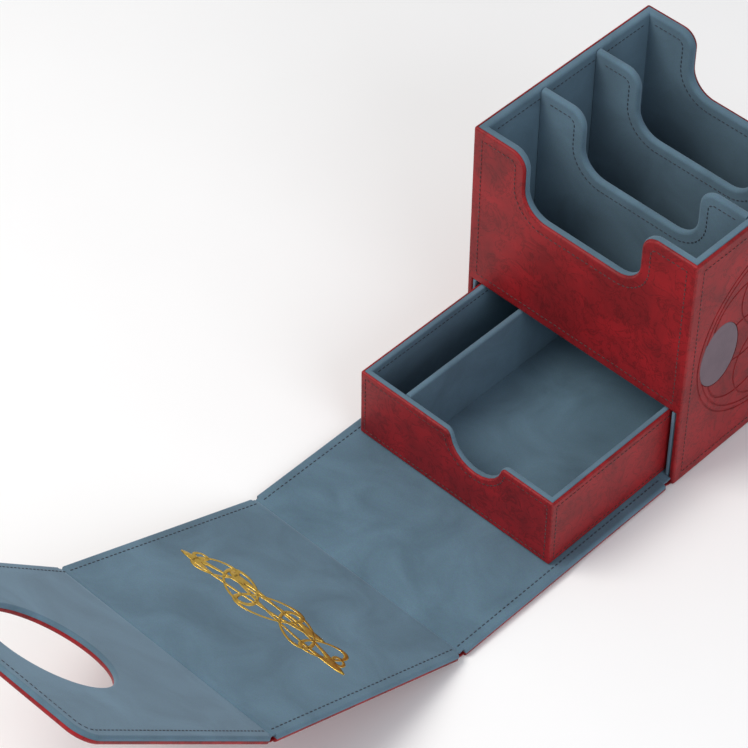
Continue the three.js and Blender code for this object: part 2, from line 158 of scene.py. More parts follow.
def finish(name, **sockets):
    """Starts a material: its Principled shader's own sockets are set, and it is returned with
    its node tree, that shader and the object coordinates."""
    made = bpy.data.materials.new(name)
    made.use_nodes = True
    tree = made.node_tree
    shader = tree.nodes["Principled BSDF"]
    for socket, value in sockets.items():
        shader.inputs[socket.replace("_", " ")].default_value = value
    place = node(tree, "ShaderNodeTexCoord", {}).outputs["Object"]
    return made, tree, shader, place


# Painted board floor: smooth matt emulsion, almost white, with the faint cloudiness of a roller.
ROLLER_CLOUD = 60 * mm
floor_paint, tree, shader, place = finish("floor_paint", Roughness=0.9)
cloud = node(tree, "ShaderNodeTexNoise", {"Vector": place, "Scale": 1 / ROLLER_CLOUD, "Detail": 2})
paint = node(tree, "ShaderNodeMix", {"data_type": "RGBA", "Factor": cloud.outputs["Fac"]})
paint.inputs[6].default_value = colour("#F7F7F7")
paint.inputs[7].default_value = colour("#FAFAFA")
tree.links.new(paint.outputs[2], shader.inputs["Base Color"])
bpy.ops.mesh.primitive_plane_add(size=8, location=(0, 0, -0.3 * mm))
floor = bpy.context.active_object
floor.name = "floor"
floor.data.materials.append(floor_paint)
floor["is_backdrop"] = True


# ---- case cover ---------------------------------------------------------------------------
# One wrap of red leatherette glued round the case's greyboard walls. It is cut away for the
# card scoops and the drawer bay, and its edges are turned, so they are softly rounded.
WRAP = 1.05 * mm            # leatherette and its glue line, down to the board
WRAP_ROUND = 0.95 * mm
RIM_REVEAL = 0.3 * mm       # the wrap stops this far below the lining's rim
SCOOP_HALF = 26.5 * mm
SCOOP_DEEP = 25.5 * mm
SCOOP_SHOULDER = 7 * mm
SCOOP_FOOT = 10 * mm
ARC_STEPS = 10
CLEAR = 3 * mm              # how far a cutter runs past what it cuts
BAY_RIM = 2.4 * mm          # wrap left standing beside the bay's mouth
TOUCH = 0.01 * mm           # nearer than this counts as on the same face
WELD = 0.02 * mm            # corners nearer than this after a cut become one
TURNED = 0.6                # radians: only edges that turn more than this are rounded


def pick(kind, test):
    """In edit mode, selects the faces, edges or verts that pass the test, and nothing else."""
    bpy.context.tool_settings.mesh_select_mode = [kind == k for k in ("verts", "edges", "faces")]
    bpy.ops.mesh.select_all(action="DESELECT")
    shape = bmesh.from_edit_mesh(bpy.context.edit_object.data)
    for part in [p for p in getattr(shape, kind) if test(p)]:
        part.select_set(True)
    shape.select_flush_mode()
    bmesh.update_edit_mesh(bpy.context.edit_object.data)


def middle(part):
    """The middle of a face or an edge."""
    return sum((v.co for v in part.verts), Vector()) / len(part.verts)


def activate(piece):
    """Makes this the only selected piece, and the active one."""
    bpy.ops.object.select_all(action="DESELECT")
    piece.select_set(True)
    bpy.context.view_layer.objects.active = piece


def edit(piece):
    """Takes the piece into edit mode."""
    activate(piece)
    bpy.ops.object.mode_set(mode="EDIT")


def leave():
    """Goes back to object mode."""
    bpy.ops.object.mode_set(mode="OBJECT")


def work(piece, kind, **settings):
    """Applies one modifier to the piece."""
    activate(piece)
    made = piece.modifiers.new(kind.lower(), kind)
    for name, value in settings.items():
        setattr(made, name, value)
    bpy.ops.object.modifier_apply(modifier=made.name)


def cut(piece, cutter, crossing=False):
    """Cuts the cutter's shape out of the piece and throws the cutter away. A crossing cutter
    is made of shapes that run through each other."""
    work(piece, "BOOLEAN", operation="DIFFERENCE", object=cutter, solver="EXACT",
         use_self=crossing)
    bpy.data.objects.remove(cutter)
    edit(piece)
    bpy.ops.mesh.select_all(action="SELECT")
    bpy.ops.mesh.remove_doubles(threshold=WELD)
    leave()


def block(name, low, high):
    """A box between two corners, as the start of a piece."""
    low, high = Vector(low), Vector(high)
    bpy.ops.object.select_all(action="DESELECT")
    bpy.ops.mesh.primitive_cube_add(size=1, location=(low + high) / 2, scale=high - low)
    made = bpy.context.active_object
    made.name = name
    bpy.ops.object.transform_apply()
    return made


def sleeve(name, low, high, wall):
    """Four walls round an open middle."""
    made = block(name, low, high)
    edit(made)
    pick("faces", lambda f: abs(f.normal.z) > 0.5)
    bpy.ops.mesh.delete(type="FACE")
    leave()
    work(made, "SOLIDIFY", thickness=wall, offset=-1, use_even_offset=True)
    return made


def trace(name, start, runs, through):
    """Draws an outline on the plane that faces -Y, by straight runs (across, up) and arcs
    (across to centre, up to centre, turn), fills it and pulls it back into a solid."""
    bpy.ops.object.select_all(action="DESELECT")
    bpy.ops.mesh.primitive_plane_add(size=mm, location=start)
    made = bpy.context.active_object
    made.name = name
    bpy.ops.object.transform_apply()
    edit(made)
    bpy.context.tool_settings.mesh_select_mode = (True, False, False)
    bpy.ops.mesh.select_all(action="SELECT")
    bpy.ops.mesh.merge(type="CENTER")
    for run in runs:
        if len(run) == 2:
            bpy.ops.mesh.extrude_region_move(TRANSFORM_OT_translate={"value": (run[0], 0, run[1])})
        else:
            tip = next(v.co for v in bmesh.from_edit_mesh(made.data).verts if v.select)
            centre = tip + Vector((run[0], 0, run[1]))
            bpy.ops.mesh.spin(steps=ARC_STEPS, angle=-run[2], center=centre, axis=(0, -1, 0))
    bpy.ops.mesh.select_all(action="SELECT")
    bpy.ops.mesh.remove_doubles(threshold=0.001 * mm)
    bpy.ops.mesh.edge_face_add()
    bpy.ops.mesh.extrude_region_move(TRANSFORM_OT_translate={"value": (0, through, 0)})
    bpy.ops.mesh.select_all(action="SELECT")
    bpy.ops.mesh.normals_make_consistent(inside=False)
    leave()
    return made


def scoop_cutter(rim, grow=0.0):
    """The card scoop's shape, running through the whole case from front to rear."""
    quarter = math.pi / 2
    half, deep = SCOOP_HALF + grow, SCOOP_DEEP
    shoulder, foot = SCOOP_SHOULDER - grow, SCOOP_FOOT + grow
    drop = deep - shoulder - foot
    start = (-half - shoulder, cad_low.y, rim)
    return trace("scoop_cutter", start, [
        (0, -shoulder, -quarter), (0, -drop), (foot, 0, quarter), (2 * (half - foot), 0),
        (0, foot, quarter), (0, drop), (shoulder, 0, -quarter),
        (0, CLEAR), (-2 * (half + shoulder), 0),
    ], cad_high.y - cad_low.y + CLEAR)


def soften(piece, amount, chosen, steps=4):
    """Rounds the chosen edges of the piece."""
    edit(piece)
    pick("edges", lambda e: len(e.link_faces) == 2 and e.calc_face_angle(0) > TURNED and chosen(e))
    bpy.ops.mesh.bevel(offset=amount, segments=steps, affect="EDGES", clamp_overlap=True)
    leave()


def smooth(piece):
    """Smooths the rounded edges and keeps the flat faces flat."""
    activate(piece)
    bpy.ops.object.shade_smooth_by_angle(angle=math.radians(38))
    work(piece, "WEIGHTED_NORMAL", keep_sharp=True, weight=80)


front_low, front_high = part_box("front_wall_cover")
rear_low, rear_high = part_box("rear_wall_cover")
case_low = Vector((rear_low.x, front_low.y, 0))
case_high = Vector((rear_high.x, rear_high.y, front_high.z))
case_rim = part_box("tray_lining_front")[1].z
bay_top = front_low.z

# ---- case stitching -----------------------------------------------------------------------
# A double-locked seam of waxed polyester thread, whose visible stitches lie half
# sunk in the panel, a little way in from its edge. Every other sewn piece uses the same.
SEAM = 4.2 * mm             # from the panel's edge to its stitches
PANEL_AREA = (20 * mm) ** 2
WAYS = ((0, -1, 0), (0, 1, 0), (1, 0, 0), (-1, 0, 0))
STITCH = 1.55 * mm
STITCH_PITCH = 2.1 * mm
THREAD = 0.5 * mm
TWIST = 0.5 * mm            # the thread's plies, drawn coarser than they are so that they show


def thread(name, dark, light):
    """Waxed polyester thread: a dull round yarn whose plies catch a little light."""
    made, tree, shader, place = finish(name, Roughness=0.55, Sheen_Weight=0.15)
    plies = node(tree, "ShaderNodeTexWave", {
        "Vector": place, "Scale": 1 / TWIST / 6.28, "Distortion": 2, "bands_direction": "DIAGONAL"})
    shade = node(tree, "ShaderNodeMix", {"data_type": "RGBA", "Factor": plies.outputs["Fac"]})
    shade.inputs[6].default_value = colour(dark)
    shade.inputs[7].default_value = colour(light)
    bump = node(tree, "ShaderNodeBump", {
        "Height": plies.outputs["Fac"], "Strength": 0.5, "Distance": 0.1 * mm})
    tree.links.new(shade.outputs[2], shader.inputs["Base Color"])
    tree.links.new(bump.outputs["Normal"], shader.inputs["Normal"])
    return made


maroon_thread = thread("maroon_thread", "#2E0A0C", "#4A1316")
navy_thread = thread("navy_thread", "#1A2430", "#2C3A49")


def seam_line(piece, panel, setback, along=lambda spot: True, foot=None, ends=()):
    """Copies a flat panel of the piece, draws it in by the seam's setback, and returns its
    outline as a wire for the thread. Below foot the panel is left out, and at ends, given as
    places along Y, the seam runs off the piece."""
    edit(piece)
    pick("faces", panel)
    before = set(bpy.data.objects)
    bpy.ops.mesh.duplicate()
    bpy.ops.mesh.separate(type="SELECTED")
    leave()
    wire = (set(bpy.data.objects) - before).pop()
    edit(wire)
    if foot is not None:
        bpy.ops.mesh.select_all(action="SELECT")
        bpy.ops.mesh.bisect(plane_co=(0, 0, foot), plane_no=(0, 0, 1), clear_inner=True)
    for end in ends:
        pick("verts", lambda v: abs(v.co.y - end) < TOUCH)
        outwards = -1 if end < sum(ends) / len(ends) - mm else 1
        bpy.ops.transform.translate(value=(0, outwards * setback, 0))
    bpy.ops.mesh.select_mode(type="FACE")
    bpy.ops.mesh.select_all(action="SELECT")
    bpy.ops.mesh.inset(thickness=setback, use_even_offset=True)
    bpy.ops.mesh.select_all(action="INVERT")
    bpy.ops.mesh.delete(type="FACE")
    bpy.ops.mesh.select_all(action="SELECT")
    bpy.ops.mesh.delete(type="ONLY_FACE")
    pick("edges", lambda e: not all(along(v.co) for v in e.verts) or any(
        all(abs(v.co.y - end) < TOUCH for v in e.verts) for end in ends))
    bpy.ops.mesh.delete(type="EDGE")
    leave()
    return wire


def sew(name, wires, yarn, body):
    """Lays a row of stitches along each wire and joins them to one piece of thread."""
    bpy.ops.object.select_all(action="DESELECT")
    for wire in wires:
        wire.data.materials.clear()
        wire.select_set(True)
    bpy.context.view_layer.objects.active = wires[0]
    if len(wires) > 1:
        bpy.ops.object.join()
    before = set(bpy.data.objects) - set(wires)
    edit(bpy.context.active_object)
    bpy.ops.mesh.select_all(action="SELECT")
    bpy.ops.mesh.delete(type="ONLY_FACE")
    bpy.ops.mesh.select_all(action="SELECT")
    bpy.ops.mesh.separate(type="LOOSE")
    leave()
    rows = []
    for run in [o for o in bpy.data.objects if o not in before]:
        activate(run)
        bpy.ops.object.convert(target="CURVE")
        bpy.ops.mesh.primitive_uv_sphere_add(
            segments=8, ring_count=6, radius=0.5, rotation=(0, math.pi / 2, 0))
        stitch = bpy.context.active_object
        bpy.ops.object.transform_apply()
        stitch.scale = (STITCH, THREAD, THREAD)
        stitch.location = (STITCH / 2, 0, 0)
        bpy.ops.object.transform_apply()
        bpy.ops.object.shade_smooth()
        work(stitch, "ARRAY", fit_type="FIT_CURVE", curve=run, use_relative_offset=False,
             use_constant_offset=True, constant_offset_displace=(STITCH_PITCH, 0, 0))
        work(stitch, "CURVE", object=run)
        bpy.data.objects.remove(run)
        rows.append(stitch)
    activate(rows[0])
    for row in rows:
        row.select_set(True)
    if len(rows) > 1:
        bpy.ops.object.join()
    sewn = bpy.context.active_object
    sewn.name = name
    sewn.data.materials.append(yarn)
    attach(sewn, body)
    return sewn


def outer_panel(piece, way, side=1):
    """A test for the big flat face on the piece's outside that way. With side -1 it is for
    the one that faces the same way across the inside."""
    low = [min(v.co[axis] for v in piece.data.vertices) for axis in range(3)]
    high = [max(v.co[axis] for v in piece.data.vertices) for axis in range(3)]
    centre, way = (Vector(low) + Vector(high)) / 2, Vector(way)
    return lambda f: (f.normal.dot(way) > 0.99 and f.calc_area() > PANEL_AREA
                      and (middle(f) - centre).dot(way) * side > 0)


case_cover = sleeve("case_cover", case_low, case_high, WRAP)
cut(case_cover, scoop_cutter(case_high.z, RIM_REVEAL))
case_wires = [
    seam_line(case_cover, outer_panel(case_cover, way), SEAM, foot=bay_top if way[1] < 0 else None)
    for way in WAYS
]
cut(case_cover, block("bay_cutter", (case_low.x + BAY_RIM, case_low.y - CLEAR, -CLEAR),
                      (case_high.x - BAY_RIM, case_low.y + CLEAR, bay_top)))

def on_outside(edge):
    """Whether the edge lies on the case's outside."""
    return all(
        abs(v.co.x) > case_high.x - TOUCH or abs(v.co.y) > case_high.y - TOUCH
        for v in edge.verts
    )


soften(case_cover, WRAP_ROUND, on_outside)
sew("case_stitching", case_wires, maroon_thread, "case")

# Leatherette: polyurethane film on a cloth back, embossed with a fine grain and printed with
# cloudy darker veins, so it looks like soft marbled hide with a dull shine.
GRAIN = 0.7 * mm
CLOUDS = 22 * mm
VEINS = 9 * mm
red_leatherette, tree, shader, place = finish(
    "red_leatherette", Roughness=0.5, Specular_IOR_Level=0.28)
cloud = node(tree, "ShaderNodeTexNoise", {
    "Vector": place, "Scale": 1 / CLOUDS, "Detail": 5, "Roughness": 0.6, "Distortion": 0.6})
cloud_step = node(tree, "ShaderNodeValToRGB", {"Fac": cloud.outputs["Fac"]})
cloud_step.color_ramp.elements[0].position = 0.32
cloud_step.color_ramp.elements[0].color = colour("#741519")
cloud_step.color_ramp.elements[1].position = 0.68
cloud_step.color_ramp.elements[1].color = colour("#9C1A20")
vein = node(tree, "ShaderNodeTexNoise", {
    "Vector": place, "Scale": 1 / VEINS, "Detail": 6, "Roughness": 0.65, "Distortion": 1.4})
vein_line = node(tree, "ShaderNodeValToRGB", {"Fac": vein.outputs["Fac"]})
vein_line.color_ramp.elements[0].position = 0.47
vein_line.color_ramp.elements[0].color = (0, 0, 0, 1)
vein_line.color_ramp.elements[1].position = 0.53
vein_line.color_ramp.elements[1].color = (0, 0, 0, 1)
vein_line.color_ramp.elements.new(0.5).color = (0.55, 0.55, 0.55, 1)
marbled = node(tree, "ShaderNodeMix", {"data_type": "RGBA", "Factor": vein_line.outputs["Color"]})
tree.links.new(cloud_step.outputs["Color"], marbled.inputs[6])
marbled.inputs[7].default_value = colour("#45090A")
grain = node(tree, "ShaderNodeTexNoise", {
    "Vector": place, "Scale": 1 / GRAIN, "Detail": 3, "Roughness": 0.6})
bump = node(tree, "ShaderNodeBump", {
    "Height": grain.outputs["Fac"], "Strength": 0.35, "Distance": 0.12 * mm})
tree.links.new(marbled.outputs[2], shader.inputs["Base Color"])
tree.links.new(bump.outputs["Normal"], shader.inputs["Normal"])


def clad(piece, material, slot, body, *nodes):
    """Gives a finished piece its material, hangs it on the body it rides on, and hides the imported
    parts it stands for.
    """
    piece.data.materials.clear()
    piece.data.materials.append(material)
    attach(piece, body)
    if nodes:
        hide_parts(*nodes)


# ---- side emblems -------------------------------------------------------------------------
# The emblem on each side is pressed in with a hot brass block: two rings and six petals drawn
# as thin grooves, with a flat-bottomed oval pocket at its front and rear for the inlays.
EMBLEM_RINGS = (40.2 * mm, 37.8 * mm, 5.5 * mm)
PETALS = 6
PETAL_RADIUS = 18.2 * mm
PETAL_SHIFT = 17.6 * mm
GROOVE = 0.42 * mm
POCKET = 0.75 * mm
inlay_boxes = {name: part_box(name) for name in frame["nodes"] if "inlay" in name}
emblem_height = sum(inlay_boxes["left_inlay_front"], Vector()).z / 2


def ring_cutter(place, radius, bead, tall=1.0):
    """A thin ring that stands on a side wall, stretched upwards by tall."""
    bpy.ops.object.select_all(action="DESELECT")
    bpy.ops.mesh.primitive_torus_add(
        major_segments=72, minor_segments=8, major_radius=radius, minor_radius=bead,
        location=place, rotation=(0, math.pi / 2, 0))
    made = bpy.context.active_object
    bpy.ops.object.transform_apply(location=False)
    made.scale = (1, 1, tall)
    bpy.ops.object.transform_apply()
    return made


def oval(name, low, high, steps=64):
    """An upright oval plate between two corners, lying against a side wall."""
    bpy.ops.object.select_all(action="DESELECT")
    bpy.ops.mesh.primitive_cylinder_add(
        vertices=steps, radius=0.5, depth=1, rotation=(0, math.pi / 2, 0))
    made = bpy.context.active_object
    made.name = name
    bpy.ops.object.transform_apply()
    made.location, made.scale = (low + high) / 2, high - low
    bpy.ops.object.transform_apply()
    return made


cutters = []
for side in (-1, 1):
    face = side * case_high.x
    cutters += [ring_cutter((face, 0, emblem_height), radius, GROOVE) for radius in EMBLEM_RINGS]
    for petal in range(PETALS):
        turn = 2 * math.pi * (petal + 0.5) / PETALS
        place = (face, PETAL_SHIFT * math.cos(turn), emblem_height + PETAL_SHIFT * math.sin(turn))
        cutters.append(ring_cutter(place, PETAL_RADIUS, GROOVE))
for name, (low, high) in inlay_boxes.items():
    side = 1 if low.x > 0 else -1
    room = Vector((0, 0.15, 0.15)) * mm
    pocket_floor, mouth = side * (case_high.x - POCKET), side * (case_high.x + CLEAR)
    cutters.append(oval("pocket_cutter",
                        Vector((min(pocket_floor, mouth), *(low - room).yz)),
                        Vector((max(pocket_floor, mouth), *(high + room).yz))))
activate(cutters[0])
for cutter in cutters:
    cutter.select_set(True)
bpy.ops.object.join()
cut(case_cover, cutters[0], crossing=True)

smooth(case_cover)
clad(case_cover, red_leatherette, "red_leatherette", "case",
     "front_wall_cover", "rear_wall_cover", "left_wall_cover", "right_wall_cover")


# ---- side inlays --------------------------------------------------------------------------
# Four die-cut ovals of aubergine bonded leather, glued into the emblem's pockets. Their cut
# edge is rounded over, and their middle is slightly crowned.
INLAY_CROWN = 0.12 * mm
INLAY_ROUND = 0.25 * mm
CROWN_RINGS = 3
CROWN_RING_WIDE = 2.2 * mm
FINE_GRAIN = 0.5 * mm
inlay_leather, tree, shader, place = finish("aubergine_leather", Roughness=0.5, Sheen_Weight=0.1)
tone = node(tree, "ShaderNodeTexNoise", {"Vector": place, "Scale": 1 / (6 * mm), "Detail": 4})
tones = node(tree, "ShaderNodeMix", {"data_type": "RGBA", "Factor": tone.outputs["Fac"]})
tones.inputs[6].default_value = colour("#4E3C48")
tones.inputs[7].default_value = colour("#6A5560")
tree.links.new(tones.outputs[2], shader.inputs["Base Color"])
fine = node(tree, "ShaderNodeTexVoronoi", {"Vector": place, "Scale": 1 / FINE_GRAIN})
bump = node(tree, "ShaderNodeBump", {
    "Height": fine.outputs["Distance"], "Strength": 0.4, "Distance": 0.08 * mm})
tree.links.new(bump.outputs["Normal"], shader.inputs["Normal"])

for name, (low, high) in inlay_boxes.items():
    side = 1 if low.x > 0 else -1
    end = "front" if high.y < 0 else "rear"
    inlay = oval(f"{'right' if side > 0 else 'left'}_{end}_oval", low, high)
    soften(inlay, INLAY_ROUND, lambda e: side * middle(e).x > abs(low.x + high.x) / 2, 3)
    edit(inlay)
    pick("faces", lambda f: f.normal.x * side > 0.99)
    for _ in range(CROWN_RINGS):
        bpy.ops.mesh.inset(thickness=CROWN_RING_WIDE, use_even_offset=True)
        bpy.ops.transform.translate(value=(side * INLAY_CROWN / CROWN_RINGS, 0, 0))
    leave()
    smooth(inlay)
    clad(inlay, inlay_leather, "inlay_leather", "case", name)

# ---- tray lining --------------------------------------------------------------------------
# Blue-grey microfibre glued inside the card tray and turned outwards over the walls' rim,
# where it hides the greyboard's edge. It is sewn through the wall below the rim.
LINING_SHEET = 0.9 * mm
RIM_ROUND = 1.5 * mm
LIP_ROUND = 0.55 * mm
LIP_AREA = (8 * mm) ** 2    # the outer faces bigger than this are hidden, and are left out
PAD_ROUND = 0.3 * mm
NAP = 0.45 * mm
BRUSHED = 26 * mm
grey_microfibre, tree, shader, place = finish(
    "grey_microfibre", Roughness=0.92, Sheen_Weight=0.35, Sheen_Roughness=0.5)
shader.inputs["Sheen Tint"].default_value = colour("#B9CFE2")
brushed = node(tree, "ShaderNodeTexNoise", {
    "Vector": place, "Scale": 1 / BRUSHED, "Detail": 4, "Roughness": 0.55, "Distortion": 0.8})
brush_tone = node(tree, "ShaderNodeValToRGB", {"Fac": brushed.outputs["Fac"]})
brush_tone.color_ramp.elements[0].position = 0.3
brush_tone.color_ramp.elements[0].color = colour("#446172")
brush_tone.color_ramp.elements[1].position = 0.7
brush_tone.color_ramp.elements[1].color = colour("#547588")
nap = node(tree, "ShaderNodeTexNoise", {"Vector": place, "Scale": 1 / NAP, "Detail": 3})
fibres = node(tree, "ShaderNodeMix", {
    "data_type": "RGBA", "blend_type": "OVERLAY", "Factor": 0.25})
tree.links.new(brush_tone.outputs["Color"], fibres.inputs[6])
tree.links.new(nap.outputs["Color"], fibres.inputs[7])
bleached = node(tree, "ShaderNodeHueSaturation", {"Saturation": 0.9, "Color": fibres.outputs[2]})
bump = node(tree, "ShaderNodeBump", {
    "Height": nap.outputs["Fac"], "Strength": 0.3, "Distance": 0.12 * mm})
tree.links.new(bleached.outputs["Color"], shader.inputs["Base Color"])
tree.links.new(bump.outputs["Normal"], shader.inputs["Normal"])


def rim_lining(name, low, high, wall, cutter, inner_round, lip_round, setback, sewn_above, body):
    """A lining that stands inside four walls and is turned out over their rim. Returns it
    with its sewn thread."""
    made = sleeve(name, low, high, wall)
    cut(made, cutter)
    room_x, room_y = (high.x - low.x) / 2 - wall, (high.y - low.y) / 2 - wall
    centre = (low + high) / 2

    def inside(spot):
        return (abs(spot.x - centre.x) < room_x + TOUCH
                and abs(spot.y - centre.y) < room_y + TOUCH)

    def upright(edge):
        return abs(edge.verts[0].co.z - edge.verts[1].co.z) > 10 * mm and all(
            abs(abs(v.co.x - centre.x) - room_x) < TOUCH
            and abs(abs(v.co.y - centre.y) - room_y) < TOUCH for v in edge.verts)

    def on_rim(edge):
        return max(v.co.z for v in edge.verts) > low.z + mm

    wires = [
        seam_line(made, outer_panel(made, way, -1), setback, lambda spot: spot.z > sewn_above)
        for way in WAYS
    ]
    soften(made, inner_round, lambda e: on_rim(e) and not upright(e)
           and all(inside(v.co) for v in e.verts))

    def outer(spot):
        return (abs(spot.x - centre.x) > (high.x - low.x) / 2 - TOUCH
                or abs(spot.y - centre.y) > (high.y - low.y) / 2 - TOUCH)

    def outer_corner(edge):
        return abs(edge.verts[0].co.z - edge.verts[1].co.z) > 10 * mm and all(
            abs(v.co.x - centre.x) > (high.x - low.x) / 2 - TOUCH for v in edge.verts)

    soften(made, lip_round, lambda e: on_rim(e) and not outer_corner(e)
           and all(outer(v.co) for v in e.verts), 3)
    edit(made)
    pick("faces", lambda f: f.normal.z < -0.9 and all(v.co.z < low.z + TOUCH for v in f.verts)
         or all(outer(v.co) for v in f.verts) and abs(f.normal.z) < 0.1
         and f.calc_area() > LIP_AREA)
    bpy.ops.mesh.delete(type="FACE")
    leave()
    work(made, "SOLIDIFY", thickness=LINING_SHEET, offset=-1, use_even_offset=True)
    smooth(made)
    return made, sew(name + "_stitching", wires, navy_thread, body)


tray_low, tray_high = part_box("tray_lining_left")[0].copy(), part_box("tray_lining_right")[1].copy()
tray_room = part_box("tray_lining_right")[0].x
tray_lining, tray_stitching = rim_lining(
    "tray_wall_lining", tray_low, tray_high, tray_high.x - tray_room, scoop_cutter(case_rim),
    RIM_ROUND, LIP_ROUND, SEAM, emblem_height, "case")
clad(tray_lining, grey_microfibre, "grey_microfibre", "case",
     "tray_lining_left", "tray_lining_right", "tray_lining_front", "tray_lining_rear")

# The tray's floor is a lined card panel that drops between the walls.
tray_floor = block("tray_floor_pad", *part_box("tray_lining_floor"))
soften(tray_floor, PAD_ROUND,
       lambda e: middle(e).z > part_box("tray_lining_floor")[1].z - TOUCH, 3)
smooth(tray_floor)
clad(tray_floor, grey_microfibre, "grey_microfibre", "case", "tray_lining_floor")

# ---- tray dividers ------------------------------------------------------------------------
# Two card dividers wrapped in the same microfibre, with a rolled top edge. They carry the
# scoop of the front wall and are sewn round below it.
DIVIDER_ROUND = 1.4 * mm
for name in ("divider_front", "divider_rear"):
    low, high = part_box(name)
    divider = block(name.replace("divider_", "") + "_tray_divider", low, high)
    cut(divider, scoop_cutter(case_rim))
    wires = [
        seam_line(divider, outer_panel(divider, way), SEAM, lambda spot: spot.z > emblem_height)
        for way in WAYS[:2]
    ]
    soften(divider, DIVIDER_ROUND, lambda e: max(v.co.z for v in e.verts) > low.z + mm
           and abs(middle(e).x) < high.x - TOUCH, 5)
    smooth(divider)
    clad(divider, grey_microfibre, "grey_microfibre", "case", name)
    sew(divider.name + "_stitching", wires, navy_thread, "case")

# ---- drawer bay ---------------------------------------------------------------------------
# Thin microfibre sheets line the bay under the tray, and a leatherette sheet closes the
# case's underside. The side sheets' front edges are rolled beside the bay's mouth.
SHEET_ROUND = 0.55 * mm
SHEET_SHARE = 0.3           # of the sheet's own thickness, where that is less
BASE_ROUND = 0.4 * mm
for name in ("bay_lining_left", "bay_lining_right", "bay_lining_ceiling", "bay_lining_floor",
             "bay_lining_rear"):
    low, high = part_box(name)
    sheet = block(name.replace("bay_lining_", "") + "_bay_sheet", low, high)
    soften(sheet, min(SHEET_SHARE * min((high - low).xz), SHEET_ROUND),
           lambda e: middle(e).y < low.y + TOUCH)
    smooth(sheet)
    clad(sheet, grey_microfibre, "grey_microfibre", "case", name)

base_low, base_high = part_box("base_cover")
base_sheet = block("base_sheet", base_low, base_high)
soften(base_sheet, BASE_ROUND, lambda e: middle(e).z < TOUCH)
smooth(base_sheet)
clad(base_sheet, red_leatherette, "red_leatherette", "case", "base_cover")

# ---- drawer -------------------------------------------------------------------------------
# A card tray wrapped in the red leatherette and lined in the microfibre, which is turned over
# its rim. Its front has a half-round thumb scoop off centre, and one divider runs lengthways.
THUMB_RADIUS = 12 * mm
THUMB_SHOULDER = 3.4 * mm
THUMB_CENTRE = 9.25 * mm
DRAWER_SEAM = 2.4 * mm
DRAWER_ROUND = 0.8 * mm
DRAWER_WRAP = 0.98 * mm
DRAWER_RIM_WIDE = 2.05 * mm
DRAWER_RIM_ROUND = 0.95 * mm
DRAWER_LIP_ROUND = 0.4 * mm
DRAWER_SEWN_ABOVE = 15 * mm
PANEL_ROUND = 0.25 * mm
LONG_DIVIDER_ROUND = 1.1 * mm


def thumb_cutter(rim, from_y, through, grow=0.0):
    """The thumb scoop's shape: a half round with its shoulders eased."""
    radius, shoulder = THUMB_RADIUS + grow, THUMB_SHOULDER - grow
    lean = math.asin(shoulder / (radius + shoulder))
    half = (radius + shoulder) * math.cos(lean)
    across, up = math.cos(lean), math.sin(lean)
    return trace("thumb_cutter", (THUMB_CENTRE - half, from_y, rim), [
        (0, -shoulder, lean - math.pi / 2), (radius * across, radius * up, math.pi - 2 * lean),
        (shoulder * across, -shoulder * up, lean - math.pi / 2), (0, CLEAR), (-2 * half, 0),
    ], through)


drawer_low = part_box("drawer_floor_cover")[0].copy()
drawer_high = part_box("drawer_floor_cover")[1].copy()
drawer_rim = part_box("drawer_lining_front")[1].z
drawer_high.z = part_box("drawer_front_cover")[1].z
drawer_middle = (drawer_low + drawer_high) / 2
drawer_cover = sleeve("drawer_cover", drawer_low, drawer_high, DRAWER_WRAP)
cut(drawer_cover, thumb_cutter(drawer_rim, drawer_low.y - CLEAR, 3 * CLEAR, RIM_REVEAL))
drawer_wires = [
    seam_line(drawer_cover, outer_panel(drawer_cover, way), DRAWER_SEAM) for way in WAYS
]
soften(drawer_cover, DRAWER_ROUND, lambda e: all(
    abs(v.co.x) > drawer_high.x - TOUCH
    or abs(v.co.y - drawer_middle.y) > drawer_high.y - drawer_middle.y - TOUCH
    for v in e.verts))
smooth(drawer_cover)
clad(drawer_cover, red_leatherette, "red_leatherette", "drawer",
     "drawer_front_cover", "drawer_back_cover", "drawer_left_cover", "drawer_right_cover")
sew("drawer_stitching", drawer_wires, maroon_thread, "drawer")

inner_low = Vector((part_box("drawer_lining_left")[0].x, *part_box("drawer_lining_front")[0].yz))
inner_high = Vector((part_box("drawer_lining_right")[1].x, *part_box("drawer_lining_back")[1].yz))
inner_low.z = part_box("drawer_lining_floor")[0].z
drawer_lining, drawer_rim_stitching = rim_lining(
    "drawer_wall_lining", inner_low, inner_high, DRAWER_RIM_WIDE,
    thumb_cutter(drawer_rim, drawer_low.y - CLEAR, 3 * CLEAR), DRAWER_RIM_ROUND, DRAWER_LIP_ROUND,
    DRAWER_SEAM + DRAWER_LIP_ROUND, DRAWER_SEWN_ABOVE, "drawer")
clad(drawer_lining, grey_microfibre, "grey_microfibre", "drawer",
     "drawer_lining_front", "drawer_lining_back", "drawer_lining_left", "drawer_lining_right")

for name, part, rounding, material, slot in (
    ("drawer_lining_floor", "drawer_floor_pad", PANEL_ROUND, grey_microfibre, "grey_microfibre"),
    ("drawer_divider", "drawer_long_divider", LONG_DIVIDER_ROUND, grey_microfibre,
     "grey_microfibre"),
    ("drawer_floor_cover", "drawer_underside", PANEL_ROUND, red_leatherette, "red_leatherette"),
):
    low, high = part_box(name)
    if name == "drawer_floor_cover":
        low, high = low + Vector((WRAP, WRAP, 0)), high - Vector((WRAP, WRAP, 0))
    piece = block(part, low, high)
    soften(piece, rounding, lambda e: abs(e.verts[0].co.z - e.verts[1].co.z) < TOUCH
           and middle(e).z > high.z - TOUCH)
    smooth(piece)
    clad(piece, material, slot, "drawer", name)

